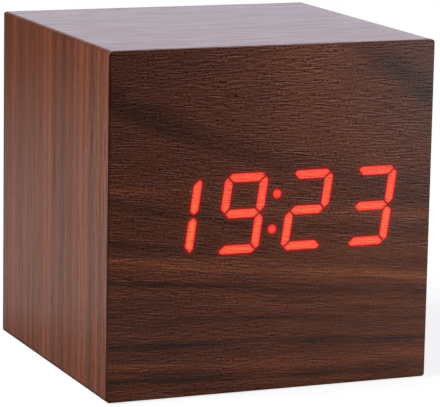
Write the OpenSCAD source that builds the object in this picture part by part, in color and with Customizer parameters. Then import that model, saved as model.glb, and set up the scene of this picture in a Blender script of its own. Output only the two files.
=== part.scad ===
// A cube-shaped table clock in a wood-grain case. A seven-segment display glows through the film of
// its front, and a recessed rear cover carries the buttons, the power inlet and the battery bay.
// Sizes are in millimetres. The clock stands on the XY plane, faces -Y and is centred on the Z axis.

/* [Case] */
// Width of the case, left to right
case_w = 64; // [63:0.5:80]
// Depth of the case, front to back
case_d = 60; // [54:0.5:90]
// Height of the case
case_h = 64; // [54:0.5:80]
// Thickness of the top, bottom and side boards
board_t = 4; // [3:0.25:4.25]
// Thickness of the board behind the front film
front_board_t = 3.6; // [3.2:0.1:5]
// Thickness of the wood-grain film over the front
film_t = 0.4; // [0.3:0.05:0.8]
// Rounding of the edges round the front
front_edge_r = 0.35; // [0.1:0.05:0.7]
// Flat left on the edge of the front film, behind its rounding
film_edge_flat = 0.05; // [0.02:0.01:0.1]
// Rounding of the long edges that run front to back
long_edge_r = 0.9; // [0.3:0.1:2]
// Rounding of the edges round the back
rear_edge_r = 1.2; // [0.5:0.1:2.5]
// Length of the blocks in the rear corners
block_l = 14; // [11:0.5:20]

/* [Digits] */
// Hours on the display
shown_hours = 19; // [0:1:23]
// Minutes on the display
shown_minutes = 23; // [0:1:59]
// Width of a digit
digit_w = 8.56; // [7.5:0.02:9]
// Height of a digit
digit_h = 14.8; // [12:0.1:16]
// Distance between neighbouring digits
digit_pitch = 12.93; // [12:0.01:13.1]
// Width of a segment
stroke_w = 1.65; // [1.3:0.05:1.9]
// Gap between neighbouring segments
segment_gap = 0.2; // [0.1:0.05:0.4]
// Cut at the outer corners of a digit
corner_cut = 1.3; // [0.6:0.1:1.5]
// Lean of the digits from upright, in degrees
lean = 7.8; // [0:0.1:12]
// Diameter of a colon dot
dot_d = 1.8; // [1.7:0.05:2.4]
// Distance between the two colon dots
dot_spread = 6.5; // [5:0.1:8]
// Distance of the display to the right of the case's centre
display_x = 0.35; // [-0.6:0.05:0.6]
// Height of the display's centre
display_z = 33.45; // [30:0.05:36]

/* [Display] */
// Plain edge of the light mask round the digits
mask_rim = 0.9; // [0.5:0.1:1.2]
// Clearance of the light mask in its window
mask_gap = 0.1; // [0.05:0.05:0.2]
// Thickness of the diffuser sheet
diffuser_t = 0.2; // [0.1:0.05:0.4]
// Thickness of the circuit boards
pcb_t = 1.2; // [0.8:0.1:1.6]
// Height of the display board
display_pcb_h = 34; // [32:0.5:36]
// Clearance between the display board and the case
display_pcb_gap = 0.75; // [0.3:0.05:1]
// Length of a light chip
led_l = 1.4; // [1:0.1:1.4]
// Width of a light chip
led_w = 0.8; // [0.5:0.1:0.9]
// Height of a light chip
led_h = 0.6; // [0.4:0.1:0.8]

/* [Parts on the display board] */
// Length of the clock chip
chip_l = 17.9; // [12:0.1:20]
// Width of the clock chip's body
chip_w = 7.5; // [5:0.1:8]
// Height of the clock chip
chip_h = 2.4; // [1.5:0.1:3]
// Legs on each side of the clock chip
chip_legs = 14; // [8:1:14]
// Distance between neighbouring legs
leg_pitch = 1.27; // [1:0.01:1.27]
// Width of a leg
leg_w = 0.4; // [0.3:0.05:0.5]
// Reach of the legs beyond the chip's body
leg_reach = 1.4; // [1:0.1:1.6]
// Thickness of a leg
leg_t = 0.3; // [0.2:0.05:0.4]
// Diameter of the crystal's can
crystal_d = 2; // [1.5:0.1:3]
// Length of the crystal's can
crystal_l = 6; // [5:0.1:8]
// Diameter of the capacitor
capacitor_d = 5; // [4:0.1:6.3]
// Height of the capacitor
capacitor_h = 7; // [5:0.1:9]
// Diameter of the buzzer
buzzer_d = 9; // [8:0.1:10]
// Height of the buzzer
buzzer_h = 5; // [4:0.1:6]
// Diameter of the buzzer's sound hole
buzzer_hole_d = 2; // [1:0.1:3]
// Depth of the buzzer's sound hole
buzzer_hole_depth = 1.5; // [1:0.1:2]
// Wires in the ribbon cable
ribbon_ways = 6; // [4:1:8]
// Distance between wires in the ribbon cable
ribbon_pitch = 1.27; // [1:0.01:1.5]
// Thickness of the ribbon cable
ribbon_t = 0.9; // [0.6:0.1:1.2]
// Height of a ribbon header off its board
header_h = 4; // [3:0.1:5]
// Width of a ribbon header across the cable
header_w = 3.4; // [3:0.1:4]
// Wall of a ribbon header beside the cable
header_wall = 0.8; // [0.5:0.1:1.2]
// Diameter of a battery lead
lead_d = 1.2; // [1:0.1:1.4]

/* [Rear cover] */
// Thickness of the rear cover
cover_t = 2.6; // [2.4:0.1:3.2]
// Depth of the rear cover below the case's rear edge
cover_recess = 1.2; // [1:0.1:2]
// Clearance between the rear cover and the case
cover_gap = 0.2; // [0.1:0.05:0.4]
// Rounding of the rear cover's corners
cover_corner_r = 1; // [0.5:0.1:2]
// Height of the strip of rear cover under the battery bay
strip_h = 7; // [6.5:0.1:7.4]
// Number of vents in that strip
vent_count = 7; // [3:1:9]
// Distance between neighbouring vents
vent_pitch = 3.5; // [3:0.1:4]
// Diameter of a vent
vent_d = 1.6; // [1:0.1:2]
// Diameter of the hole in front of the microphone
sound_hole_d = 1.2; // [0.8:0.1:1.4]

/* [Battery bay] */
// Diameter of a battery cell
cell_d = 10.5; // [9.5:0.1:11.5]
// Length of a battery cell
cell_l = 44.5; // [42:0.1:44.6]
// Diameter of a cell's positive end
nub_d = 3.8; // [3:0.1:4.5]
// Length of a cell's positive end
nub_l = 0.9; // [0.6:0.1:1.2]
// Cut at the edges of a cell
cell_edge = 0.4; // [0.2:0.1:0.8]
// Gap between neighbouring cells
cell_gap = 0.5; // [0.3:0.1:0.6]
// Clearance between the cells and the bay
cell_play = 0.4; // [0.2:0.1:0.5]
// Thickness of the bay's walls
bay_wall = 1.4; // [1.2:0.1:1.6]
// Width of the ribs between the cells
rib_w = 1.2; // [0.8:0.1:1.4]
// Height of the ribs between the cells
rib_h = 2.4; // [1:0.1:2.6]
// Thickness of the contact plates
contact_t = 0.4; // [0.3:0.05:0.5]
// Width of a contact plate
contact_w = 8.4; // [7:0.1:8.8]
// Height of a contact plate
contact_h = 9; // [8:0.1:9.6]
// Width of a contact's solder tail
tail_w = 3; // [2:0.1:4]
// Reach of a solder tail past the bay
tail_l = 3; // [2:0.1:4]
// Clearance round a solder tail
tail_play = 0.2; // [0.1:0.05:0.3]
// Length of a pressed contact spring
spring_l = 3.4; // [3.2:0.1:3.8]
// Diameter of the spring wire
spring_wire = 0.5; // [0.4:0.05:0.5]
// Curls in a contact spring
spring_turns = 2.5; // [1.5:0.5:2.5]
// Radius of a spring's widest curl
spring_wide_r = 3.1; // [2.8:0.1:3.6]
// Radius of a spring's narrowest curl
spring_tip_r = 1.9; // [1.5:0.1:2.2]

/* [Battery door] */
// Thickness of the door
door_t = 2; // [1.8:0.1:2.2]
// Clearance round the door
door_gap = 0.25; // [0.2:0.05:0.3]
// Clearance between the door and the ledge behind it
ledge_gap = 0.1; // [0.05:0.05:0.2]
// Width of the ledge that the door closes on
ledge_w = 1; // [0.8:0.05:1.1]
// Diameter of the hinge pins
pin_d = 1.2; // [1:0.05:1.3]
// Reach of the hinge pins beyond the door
pin_l = 1.2; // [0.8:0.1:1.2]
// Clearance round a hinge pin
pin_play = 0.05; // [0.03:0.01:0.1]
// Width of the latch tab
tab_w = 9; // [7:0.5:12]
// Length of the latch tab
tab_l = 7; // [5:0.5:9]
// Width of the slots beside the latch tab
tab_slot = 0.7; // [0.5:0.1:1]
// Reach of the latch nose above the door
nose_l = 0.15; // [0.1:0.01:0.17]
// Thickness of the latch nose
nose_t = 0.8; // [0.5:0.1:1.2]
// Grip ridges on the latch tab
ridge_count = 3; // [2:1:4]
// Distance between neighbouring ridges
ridge_pitch = 1.4; // [1.2:0.1:1.6]
// Width of a ridge
ridge_w = 0.6; // [0.4:0.1:0.8]
// Height of a ridge
ridge_h = 0.4; // [0.2:0.05:0.6]
// Width of the thumb notch above the door
notch_w = 12; // [8:0.5:16]
// Height of the thumb notch
notch_h = 2; // [1:0.1:2.2]
// Depth of the thumb notch
notch_depth = 1.2; // [0.8:0.1:1.6]

/* [Buttons] */
// Diameter of a button
button_d = 6.4; // [5:0.1:6.6]
// Distance between neighbouring buttons
button_pitch = 10; // [9.8:0.1:10.4]
// Clearance round a button
button_gap = 0.2; // [0.1:0.05:0.3]
// Reach of a button beyond the rear cover
button_proud = 0.8; // [0.6:0.05:1]
// Cut at a button's edge
button_edge = 0.3; // [0.1:0.05:0.5]
// Width of a button's flange beyond its cap
flange_w = 0.9; // [0.6:0.1:1]
// Thickness of a button's flange
flange_t = 0.8; // [0.6:0.1:1]
// Clearance between a flange and the rear cover
flange_gap = 0.1; // [0.05:0.05:0.2]
// Size of the raised mark on a button
mark_s = 2.6; // [2:0.1:3]
// Height of the raised mark
mark_h = 0.15; // [0.1:0.05:0.2]
// Side of a switch body
switch_s = 6; // [5:0.1:6.2]
// Height of a switch body
switch_h = 3.5; // [3:0.1:4]
// Diameter of a switch plunger
plunger_d = 3.5; // [3:0.1:3.8]
// Reach of a plunger beyond its switch
plunger_l = 1.5; // [1:0.1:2]
// Length of a plunger inside its switch
plunger_in = 0.8; // [0.5:0.1:1]
// Clearance round a plunger
plunger_play = 0.05; // [0.03:0.01:0.1]
// Depth of the bore in a switch body
plunger_bore = 1.6; // [1.4:0.1:2]
// Clearance between the button board and the corner blocks
button_pcb_gap = 0.5; // [0.3:0.1:0.8]
// Margin of the button board in its strip
button_pcb_margin = 0.7; // [0.6:0.1:0.9]
// Diameter of the button board's screw posts
post_d = 3.6; // [3.4:0.1:3.8]
// Least height of the strip over the bay that holds the buttons
button_strip_h = 11.4; // [11.2:0.1:12]
// Distance of the screw posts from the bay and the case
post_margin = 0.5; // [0.2:0.1:0.6]
// Diameter of the microphone
microphone_d = 3.6; // [3:0.1:3.7]
// Height of the microphone
microphone_h = 1.5; // [1:0.1:2]
// Length of the temperature sensor
thermistor_l = 2.4; // [2:0.1:3]
// Distance of the temperature sensor above the middle of the switches
thermistor_rise = 3.95; // [3.6:0.05:4.2]
// Diameter of the temperature sensor
thermistor_d = 1.2; // [1:0.1:1.5]

/* [Power inlet] */
// Side of the inlet's body
jack_s = 6; // [5.8:0.1:6.4]
// Diameter of the inlet's nose
jack_nose_d = 5.6; // [5:0.1:5.8]
// Clearance between the inlet and the rear cover
jack_gap = 0.2; // [0.1:0.05:0.3]
// Diameter of the inlet's bore
jack_bore_d = 3.6; // [3.4:0.1:4]
// Diameter of the inlet's centre pin
jack_pin_d = 1.3; // [1:0.1:1.4]
// Depth of the inlet's bore
jack_bore_l = 7; // [5:0.1:7.5]
// Distance of the centre pin below the inlet's mouth
jack_pin_sink = 0.8; // [0.4:0.1:1.5]

/* [Screws] */
// Diameter of the screws
screw_d = 1.9; // [1.6:0.05:2.1]
// Clearance round a screw in the piece it bites
bite_gap = 0.05; // [0.02:0.01:0.1]
// Clearance round a screw in the piece it passes through
pass_gap = 0.15; // [0.1:0.05:0.3]
// Diameter of a screw head
head_d = 3.4; // [3:0.1:3.6]
// Height of a screw head
head_h = 1.2; // [1:0.1:1.3]
// Clearance round a sunk screw head
head_gap = 0.3; // [0.2:0.05:0.4]
// Length of the cross slots in a screw head
cross_l = 1.9; // [1.5:0.1:2.2]
// Width of the cross slots
cross_w = 0.5; // [0.3:0.05:0.6]
// Depth of the cross slots
cross_depth = 0.7; // [0.4:0.1:0.8]
// Length of a rear cover screw
cover_screw_l = 8; // [6:0.5:9]
// Length of a circuit board screw
pcb_screw_l = 4; // [3.4:0.1:4.2]
// Distance of the display board's screws from its edges
pcb_screw_inset = 2.6; // [2.2:0.1:3.2]
// Depth of a screw's hole beyond its tip
tip_gap = 0.3; // [0.2:0.1:0.5]

/* [Hidden] */
$fn = 48;
// How far a cutting shape runs past the face that it opens
over = 1;

// The case
front_y = -case_d / 2;
rear_y = case_d / 2;
film_back_y = front_y + film_t;
board_back_y = film_back_y + front_board_t;
half_w = case_w / 2;
inner_half_w = half_w - board_t;
inner_z0 = board_t;
inner_z1 = case_h - board_t;
film_round = min(front_edge_r, film_t - film_edge_flat);
rear_round = min(rear_edge_r, board_t);

// The digits: which bars light up for each figure from 0 to 9
FIGURES = [
    "abcdef", "bc", "abdeg", "abcdg", "bcfg", "acdfg", "acdefg", "abc", "abcdefg", "abcdfg"
];
BARS = "abcdefg";
DIGIT_COUNT = 4;
shown = [
    floor(shown_hours / 10), shown_hours % 10, floor(shown_minutes / 10), shown_minutes % 10
];
half_digit_w = digit_w / 2;
half_digit_h = digit_h / 2;
mitre_gap = segment_gap / sqrt(2) / 2;
point_gap = segment_gap / sqrt(2);

// The display behind the film
mask_w = (DIGIT_COUNT - 1) * digit_pitch + digit_w + digit_h * tan(lean) + 2 * mask_rim;
mask_h = digit_h + 2 * mask_rim;
mask_front_y = film_back_y + diffuser_t;
display_pcb_y = board_back_y + pcb_t;
display_pcb_half_w = inner_half_w - display_pcb_gap;
display_pcb_z0 = display_z - display_pcb_h / 2;
display_pcb_z1 = display_z + display_pcb_h / 2;
display_screw_x = display_pcb_half_w - pcb_screw_inset;
display_screw_rise = display_pcb_h / 2 - pcb_screw_inset;

// The rear cover and the battery bay in it
cover_y = rear_y - cover_recess;
cover_in_y = cover_y - cover_t;
cover_half_w = inner_half_w - cover_gap;
cover_z0 = inner_z0 + cover_gap;
cover_z1 = inner_z1 - cover_gap;
block_s = strip_h;
cover_screw_x = inner_half_w - block_s / 2;
cover_screw_zs = [inner_z0 + block_s / 2, inner_z1 - block_s / 2];
sink_y = cover_y - head_h;
cell_pitch = cell_d + cell_gap;
bay_half_w = (cell_l + spring_l + 2 * contact_t) / 2;
bay_z0 = cover_z0 + strip_h + bay_wall;
// As many cells as the height takes, under the strip with the buttons
one_cell_h = cell_d + 2 * cell_play;
bay_room = cover_z1 - button_strip_h - bay_wall - bay_z0;
cell_count = 1 + floor((bay_room - one_cell_h) / cell_pitch);
last_cell = cell_count - 1;
bay_z1 = bay_z0 + last_cell * cell_pitch + one_cell_h;
door_in_y = cover_y - door_t;
cell_y = door_in_y - cell_play - cell_d / 2;
bay_floor_y = cell_y - cell_d / 2;
bay_back_y = bay_floor_y - bay_wall;
tail_end_y = bay_back_y - tail_l;
cell_zs = [for (i = [0:last_cell]) bay_z0 + cell_play + cell_d / 2 + i * cell_pitch];
// Side of each cell's positive end: 1 is right, -1 is left
cell_sides = [for (i = [0:last_cell]) i % 2 == 0 ? 1 : -1];
positive_side = cell_sides[last_cell];
negative_side = -cell_sides[0];

// The door
ledge_y = door_in_y - ledge_gap;
rebate_half_w = bay_half_w + ledge_w;
rebate_z0 = bay_z0 - ledge_w;
rebate_z1 = bay_z1 + ledge_w;
door_half_w = rebate_half_w - door_gap;
hinge_y = cover_y - door_t / 2;
hinge_z = rebate_z0 + door_gap + door_t / 2;
door_z1 = rebate_z1 - door_gap;
tab_z0 = door_z1 - tab_l;

// The strip above the bay, with the buttons and the inlet
top_strip_z0 = bay_z1 + bay_wall;
top_strip_h = cover_z1 - top_strip_z0;
button_z = top_strip_z0 + top_strip_h / 2;
jack_x = 1.5 * button_pitch;
set_x = 0.5 * button_pitch;
up_x = -0.5 * button_pitch;
down_x = -1.5 * button_pitch;
switch_xs = [set_x, up_x, down_x];
flange_y = cover_in_y - flange_gap;
flange_d = button_d + 2 * flange_w;
plunger_y = flange_y - flange_t;
switch_y = plunger_y - plunger_l;
button_pcb_y = switch_y - switch_h;
button_pcb_in_y = button_pcb_y - pcb_t;
button_pcb_half_w = inner_half_w - block_s - button_pcb_gap;
button_pcb_half_h = top_strip_h / 2 - button_pcb_margin;
post_rise = top_strip_h / 2 - post_d / 2 - post_margin;
posts = [[button_pitch, button_z + post_rise], [-button_pitch, button_z - post_rise]];

// The ribbon cable, between a header on each board
ribbon_w = ribbon_ways * ribbon_pitch;
ribbon_top = [button_pcb_in_y - header_h, button_z];
ribbon_low = [display_pcb_y + header_h, display_pcb_z1 - header_w];
ribbon_reach = (ribbon_top[0] - ribbon_low[0]) / 2;
RIBBON_STEPS = 24;

// The parts on the rear face of the display board, as distances from its centre
chip_spot = [0, -5];
crystal_spot = [13.5, -5];
capacitor_spot = [14, 6];
buzzer_spot = [-14.5, 5];
lead_x = 20.5;
lead_drop = 11;
LEAD_STEPS = 14;
LEAD_SIDES = 8;

// The springs
CURL_STEPS = 8;
SPRING_SIDES = 6;
curl_steps = round(spring_turns * CURL_STEPS);

function unit(v) = v / norm(v);
function flip_x(p) = [for (q = p) [-q[0], q[1]]];
function flip_z(p) = [for (q = p) [q[0], -q[1]]];
function leaned(p) = [for (q = p) [q[0] + q[1] * tan(lean), q[1]]];

// A point on a cubic curve with end points a and d and handles b and c
function curve(a, b, c, d, t) =
    a * pow(1 - t, 3) + 3 * b * t * pow(1 - t, 2) + 3 * c * t * t * (1 - t) + d * pow(t, 3);

// The outlines of a digit's top, upper right and middle bars, about the digit's centre
function top_bar() = let (
    flat = half_digit_w - corner_cut,
    tip = half_digit_w - corner_cut / 2 - mitre_gap,
    inner = half_digit_w - stroke_w - 2 * mitre_gap,
    tip_z = half_digit_h - corner_cut / 2 + mitre_gap
) [
    [-flat, half_digit_h], [flat, half_digit_h], [tip, tip_z], [inner, half_digit_h - stroke_w],
    [-inner, half_digit_h - stroke_w], [-tip, tip_z]
];
function side_bar() = let (
    inner = half_digit_w - stroke_w,
    shoulder_z = stroke_w / 2 + point_gap
) [
    [half_digit_w, half_digit_h - corner_cut], [half_digit_w, shoulder_z],
    [half_digit_w - stroke_w / 2, point_gap], [inner, shoulder_z],
    [inner, half_digit_h - stroke_w - 2 * mitre_gap],
    [half_digit_w - corner_cut / 2 + mitre_gap, half_digit_h - corner_cut / 2 - mitre_gap]
];
function middle_bar() = let (
    tip = half_digit_w - stroke_w / 2 - point_gap,
    inner = half_digit_w - stroke_w - point_gap,
    half = stroke_w / 2
) [[-tip, 0], [-inner, half], [inner, half], [tip, 0], [inner, -half], [-inner, -half]];
function bar(name) =
    name == "a" ? top_bar() :
    name == "b" ? side_bar() :
    name == "c" ? flip_z(side_bar()) :
    name == "d" ? flip_z(top_bar()) :
    name == "e" ? flip_z(flip_x(side_bar())) :
    name == "f" ? flip_x(side_bar()) : middle_bar();
function is_upright(name) = name == "b" || name == "c" || name == "e" || name == "f";
function bar_centre(name) = let (
    side = name == "b" || name == "c" ? 1 : -1,
    rise = name == "a" || name == "b" || name == "f" ? 1 : name == "g" ? 0 : -1
) is_upright(name)
    ? [side * (half_digit_w - stroke_w / 2), rise * half_digit_h / 2]
    : [0, rise * (half_digit_h - stroke_w / 2)];
function digit_place(i) = [display_x + (i - (DIGIT_COUNT - 1) / 2) * digit_pitch, display_z];
function dot_places() = [
    for (side = [-1, 1])
        [display_x + side * dot_spread / 2 * tan(lean), display_z + side * dot_spread / 2]
];

// Directions along a line of points, and rings of points round it
function headings(p) = [
    for (i = [0:len(p) - 1]) unit(p[min(i + 1, len(p) - 1)] - p[max(i - 1, 0)])
];
function ring(centre, heading, normal, r, sides) = [
    for (k = [0:sides - 1])
        centre + r * (cos(360 * k / sides) * normal + sin(360 * k / sides) * cross(heading, normal))
];
function tube_faces(rings, sides) = concat(
    [for (k = [1:sides - 2]) [0, k + 1, k]],
    [
        for (i = [0:rings - 2], k = [0:sides - 1], half = [0, 1])
            let (a = i * sides + k, b = i * sides + (k + 1) % sides)
            half == 0 ? [a, b, b + sides] : [a, b + sides, a + sides]
    ],
    [for (k = [1:sides - 2]) let (last = (rings - 1) * sides) [last, last + k, last + k + 1]]
);

// A spring's wire along +X: a straight end, curls that narrow steadily, and a straight end
function curl_angle(i) = 360 * spring_turns * i / curl_steps;
function curl_normal(i) = [0, cos(curl_angle(i)), sin(curl_angle(i))];
function curl_point(i) =
    [spring_wire + (spring_l - 2 * spring_wire) * i / curl_steps, 0, 0]
    + (spring_wide_r + (spring_tip_r - spring_wide_r) * i / curl_steps) * curl_normal(i);
spring_points = concat(
    [curl_point(0) - [spring_wire, 0, 0]],
    [for (i = [0:curl_steps]) curl_point(i)],
    [curl_point(curl_steps) + [spring_wire, 0, 0]]
);
spring_normals = concat(
    [curl_normal(0)], [for (i = [0:curl_steps]) curl_normal(i)], [curl_normal(curl_steps)]
);
spring_gap = min([
    for (i = [0:len(spring_points) - 1], j = [0:len(spring_points) - 1])
        if (j - i > CURL_STEPS / 2) norm(spring_points[j] - spring_points[i])
]) - spring_wire;
echo("least gap between the curls of a contact spring", spring_gap);

// Extrudes an outline drawn in X and Z from y0 to y1
module slab(y0, y1) {
    translate([0, y1, 0]) rotate([90, 0, 0]) linear_extrude(y1 - y0) children();
}

// Extrudes an outline drawn in Y and Z from x0 to x1
module along_x(x0, x1) {
    translate([x0, 0, 0]) rotate([90, 0, 90]) linear_extrude(x1 - x0) children();
}

// A rectangle between two corners
module rect(x0, x1, z0, z1) {
    translate([x0, z0]) square([x1 - x0, z1 - z0]);
}

// A rectangle with four round corners
module round_rect(x0, x1, z0, z1, r) {
    rect(x0 + r, x1 - r, z0, z1);
    rect(x0, x1, z0 + r, z1 - r);
    for (x = [x0 + r, x1 - r], z = [z0 + r, z1 - r])
        translate([x, z]) circle(r);
}

// A rectangle with its two far corners round
module far_round_rect(x0, x1, y0, y1, r) {
    rect(x0 + r, x1 - r, y0, y1);
    rect(x0, x1, y0, y1 - r);
    for (x = [x0 + r, x1 - r])
        translate([x, y1 - r]) circle(r);
}

// A block between two planes in Y, its outline round along the long edges and r round the far end
module case_block(y0, y1, r) {
    intersection() {
        slab(y0, y1) round_rect(-half_w, half_w, 0, case_h, long_edge_r);
        linear_extrude(case_h) far_round_rect(-half_w, half_w, y0, y1, r);
        translate([half_w, 0, 0]) rotate([0, -90, 0]) linear_extrude(case_w)
            far_round_rect(0, case_h, y0, y1, r);
    }
}

// A case board: the part of the case's tube inside an outline of its mitred section
module case_board(section) {
    color("saddlebrown") intersection() {
        case_block(film_back_y, rear_y, rear_round);
        slab(film_back_y - over, rear_y + over) polygon(section);
    }
}

module lit_shapes() {
    for (i = [0:DIGIT_COUNT - 1], name = FIGURES[shown[i]])
        translate(digit_place(i)) polygon(leaned(bar(name)));
    for (place = dot_places())
        translate(place) circle(d = dot_d);
}

// A screw whose head stands on the XY plane, with its shank below
module screw(length) {
    shank_r = screw_d / 2;
    head_r = head_d / 2;
    difference() {
        rotate_extrude() polygon([
            [0, -length], [shank_r / 2, -length], [shank_r, shank_r - length], [shank_r, 0],
            [head_r, 0], [head_r, head_h / 2], [cross_l / 2, head_h], [0, head_h]
        ]);
        for (turn = [0, 90])
            rotate(turn) translate([-cross_l / 2, -cross_w / 2, head_h - cross_depth])
                cube([cross_l, cross_w, cross_depth + over]);
    }
}

// Cells, springs and contacts lie along X: this places them on the left or the right of the bay
module on_side(side) {
    mirror([side < 0 ? 1 : 0, 0, 0]) children();
}

module contact_plate(z0, z1) {
    along_x(bay_half_w - contact_t, bay_half_w)
        rect(bay_floor_y, bay_floor_y + contact_h, z0 - contact_w / 2, z1 + contact_w / 2);
}

module contact_tail(z) {
    along_x(bay_half_w - contact_t, bay_half_w)
        rect(tail_end_y, bay_floor_y, z - tail_w / 2, z + tail_w / 2);
}

module tail_slot(z) {
    along_x(bay_half_w - contact_t - tail_play, bay_half_w)
        rect(
            bay_back_y - over, bay_floor_y + over,
            z - tail_w / 2 - tail_play, z + tail_w / 2 + tail_play
        );
}

// A lead from a solder tail on one side of the bay to its end on the display board
module lead(side, z, end_x) {
    a = [side * (bay_half_w - contact_t / 2), tail_end_y, z];
    d = [end_x, display_pcb_y, display_z - lead_drop];
    reach = [0, (a[1] - d[1]) / 2, 0];
    points = [for (i = [0:LEAD_STEPS]) curve(a, a - reach, d + reach, d, i / LEAD_STEPS)];
    ways = headings(points);
    rings = [
        for (i = [0:LEAD_STEPS])
            let (way = i == 0 || i == LEAD_STEPS ? [0, -1, 0] : ways[i])
            ring(points[i], way, unit(cross(way, [0, 0, 1])), lead_d / 2, LEAD_SIDES)
    ];
    polyhedron([for (r = rings) each r], tube_faces(LEAD_STEPS + 1, LEAD_SIDES));
}

// A push button: its cap passes through the rear cover, and its flange stays behind it
module push_button(x) {
    cap_r = button_d / 2;
    cap_top = cover_y + button_proud - plunger_y;
    color("dimgray") translate([x, plunger_y, button_z]) rotate([-90, 0, 0]) {
        rotate_extrude() polygon([
            [0, 0], [flange_d / 2, 0], [flange_d / 2, flange_t], [cap_r, flange_t],
            [cap_r, cap_top - button_edge], [cap_r - button_edge, cap_top], [0, cap_top]
        ]);
        translate([0, 0, cap_top]) linear_extrude(mark_h) children();
    }
}

// A triangle with its corners on a circle, which points along X before it turns
module triangle_mark(turn) {
    rotate(turn) circle(d = mark_s, $fn = 3);
}

module switch_plunger(x) {
    color("black") slab(switch_y - plunger_in, plunger_y) translate([x, button_z]) circle(d = plunger_d);
}

module front_film() {
    color("sienna") difference() {
        mirror([0, 1, 0]) case_block(-film_back_y, -front_y, film_round);
        slab(front_y - over, film_back_y + over) lit_shapes();
    }
}

module lit_segments() {
    color("orangered") slab(front_y, film_back_y) lit_shapes();
}

module front_board() {
    color("burlywood") difference() {
        slab(film_back_y, board_back_y) rect(-inner_half_w, inner_half_w, inner_z0, inner_z1);
        slab(film_back_y - over, board_back_y + over) translate([display_x, display_z])
            square([mask_w + 2 * mask_gap, mask_h + 2 * mask_gap], center = true);
        for (side = [-1, 1], rise = [-1, 1])
            slab(display_pcb_y - pcb_screw_l - tip_gap, board_back_y + over)
                translate([side * display_screw_x, display_z + rise * display_screw_rise])
                circle(d = screw_d + 2 * bite_gap);
    }
}

module top_board() {
    case_board([
        [-half_w - over, case_h + over], [half_w + over, case_h + over],
        [inner_half_w, inner_z1], [-inner_half_w, inner_z1]
    ]);
}

module bottom_board() {
    case_board([
        [-half_w - over, -over], [half_w + over, -over],
        [inner_half_w, inner_z0], [-inner_half_w, inner_z0]
    ]);
}

module left_board() {
    case_board([
        [-half_w - over, -over], [-half_w - over, case_h + over],
        [-inner_half_w, inner_z1], [-inner_half_w, inner_z0]
    ]);
}

module right_board() {
    case_board([
        [half_w + over, -over], [half_w + over, case_h + over],
        [inner_half_w, inner_z1], [inner_half_w, inner_z0]
    ]);
}

module corner_blocks() {
    hole_y = sink_y - cover_screw_l - tip_gap;
    color("burlywood") for (side = [-1, 1], z = cover_screw_zs) translate([side * cover_screw_x, 0, z])
        difference() {
            slab(cover_in_y - block_l, cover_in_y) square(block_s, center = true);
            slab(hole_y, cover_in_y + over) circle(d = screw_d + 2 * bite_gap);
        }
}

module diffuser_sheet() {
    color("white") slab(film_back_y, mask_front_y) translate([display_x, display_z])
        square([mask_w, mask_h], center = true);
}

module light_mask() {
    color("gainsboro") difference() {
        slab(mask_front_y, board_back_y) translate([display_x, display_z])
            square([mask_w, mask_h], center = true);
        slab(mask_front_y - over, board_back_y + over) {
            for (i = [0:DIGIT_COUNT - 1], name = BARS)
                translate(digit_place(i)) polygon(leaned(bar(name)));
            for (place = dot_places())
                translate(place) circle(d = dot_d);
        }
    }
}

module led_chips() {
    color("red") slab(board_back_y - led_h, board_back_y) {
        for (i = [0:DIGIT_COUNT - 1], name = BARS)
            translate(digit_place(i) + leaned([bar_centre(name)])[0])
                square(is_upright(name) ? [led_w, led_l] : [led_l, led_w], center = true);
        for (place = dot_places())
            translate(place) square([led_w, led_l], center = true);
    }
}

module display_pcb() {
    color("darkgreen") slab(board_back_y, display_pcb_y) difference() {
        rect(-display_pcb_half_w, display_pcb_half_w, display_pcb_z0, display_pcb_z1);
        for (side = [-1, 1], rise = [-1, 1])
            translate([side * display_screw_x, display_z + rise * display_screw_rise])
                circle(d = screw_d + 2 * pass_gap);
    }
}

module display_screws() {
    color("silver") for (side = [-1, 1], rise = [-1, 1])
        translate([side * display_screw_x, display_pcb_y, display_z + rise * display_screw_rise])
        rotate([-90, 0, 0]) screw(pcb_screw_l);
}

module clock_chip() {
    color("black") translate([chip_spot[0], 0, display_z + chip_spot[1]]) {
        slab(display_pcb_y, display_pcb_y + chip_h) square([chip_l, chip_w], center = true);
        slab(display_pcb_y, display_pcb_y + leg_t) for (i = [0:chip_legs - 1])
            translate([(i - (chip_legs - 1) / 2) * leg_pitch, 0])
            square([leg_w, chip_w + 2 * leg_reach], center = true);
    }
}

module crystal() {
    color("silver") translate([crystal_spot[0], display_pcb_y + crystal_d / 2, display_z + crystal_spot[1]])
        cylinder(d = crystal_d, h = crystal_l, center = true);
}

module capacitor() {
    color("navy") slab(display_pcb_y, display_pcb_y + capacitor_h)
        translate([capacitor_spot[0], display_z + capacitor_spot[1]]) circle(d = capacitor_d);
}

module buzzer() {
    top_y = display_pcb_y + buzzer_h;
    color("black") translate([buzzer_spot[0], 0, display_z + buzzer_spot[1]]) difference() {
        slab(display_pcb_y, top_y) circle(d = buzzer_d);
        slab(top_y - buzzer_hole_depth, top_y + over) circle(d = buzzer_hole_d);
    }
}

module ribbon_headers() {
    size = [ribbon_w + 2 * header_wall, header_w];
    color("white") {
        slab(ribbon_top[0], button_pcb_in_y) translate([0, ribbon_top[1]]) square(size, center = true);
        slab(display_pcb_y, ribbon_low[0]) translate([0, ribbon_low[1]]) square(size, center = true);
    }
}

module ribbon_cable() {
    reach = [ribbon_reach, 0];
    points = [
        for (i = [0:RIBBON_STEPS])
            curve(ribbon_top, ribbon_top - reach, ribbon_low + reach, ribbon_low, i / RIBBON_STEPS)
    ];
    ways = headings(points);
    sides = [
        for (i = [0:RIBBON_STEPS])
            i == 0 || i == RIBBON_STEPS ? [0, ribbon_t / 2] : [ways[i][1], -ways[i][0]] * ribbon_t / 2
    ];
    color("lightgray") along_x(-ribbon_w / 2, ribbon_w / 2) polygon(concat(
        [for (i = [0:RIBBON_STEPS]) points[i] + sides[i]],
        [for (i = [RIBBON_STEPS:-1:0]) points[i] - sides[i]]
    ));
}

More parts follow.
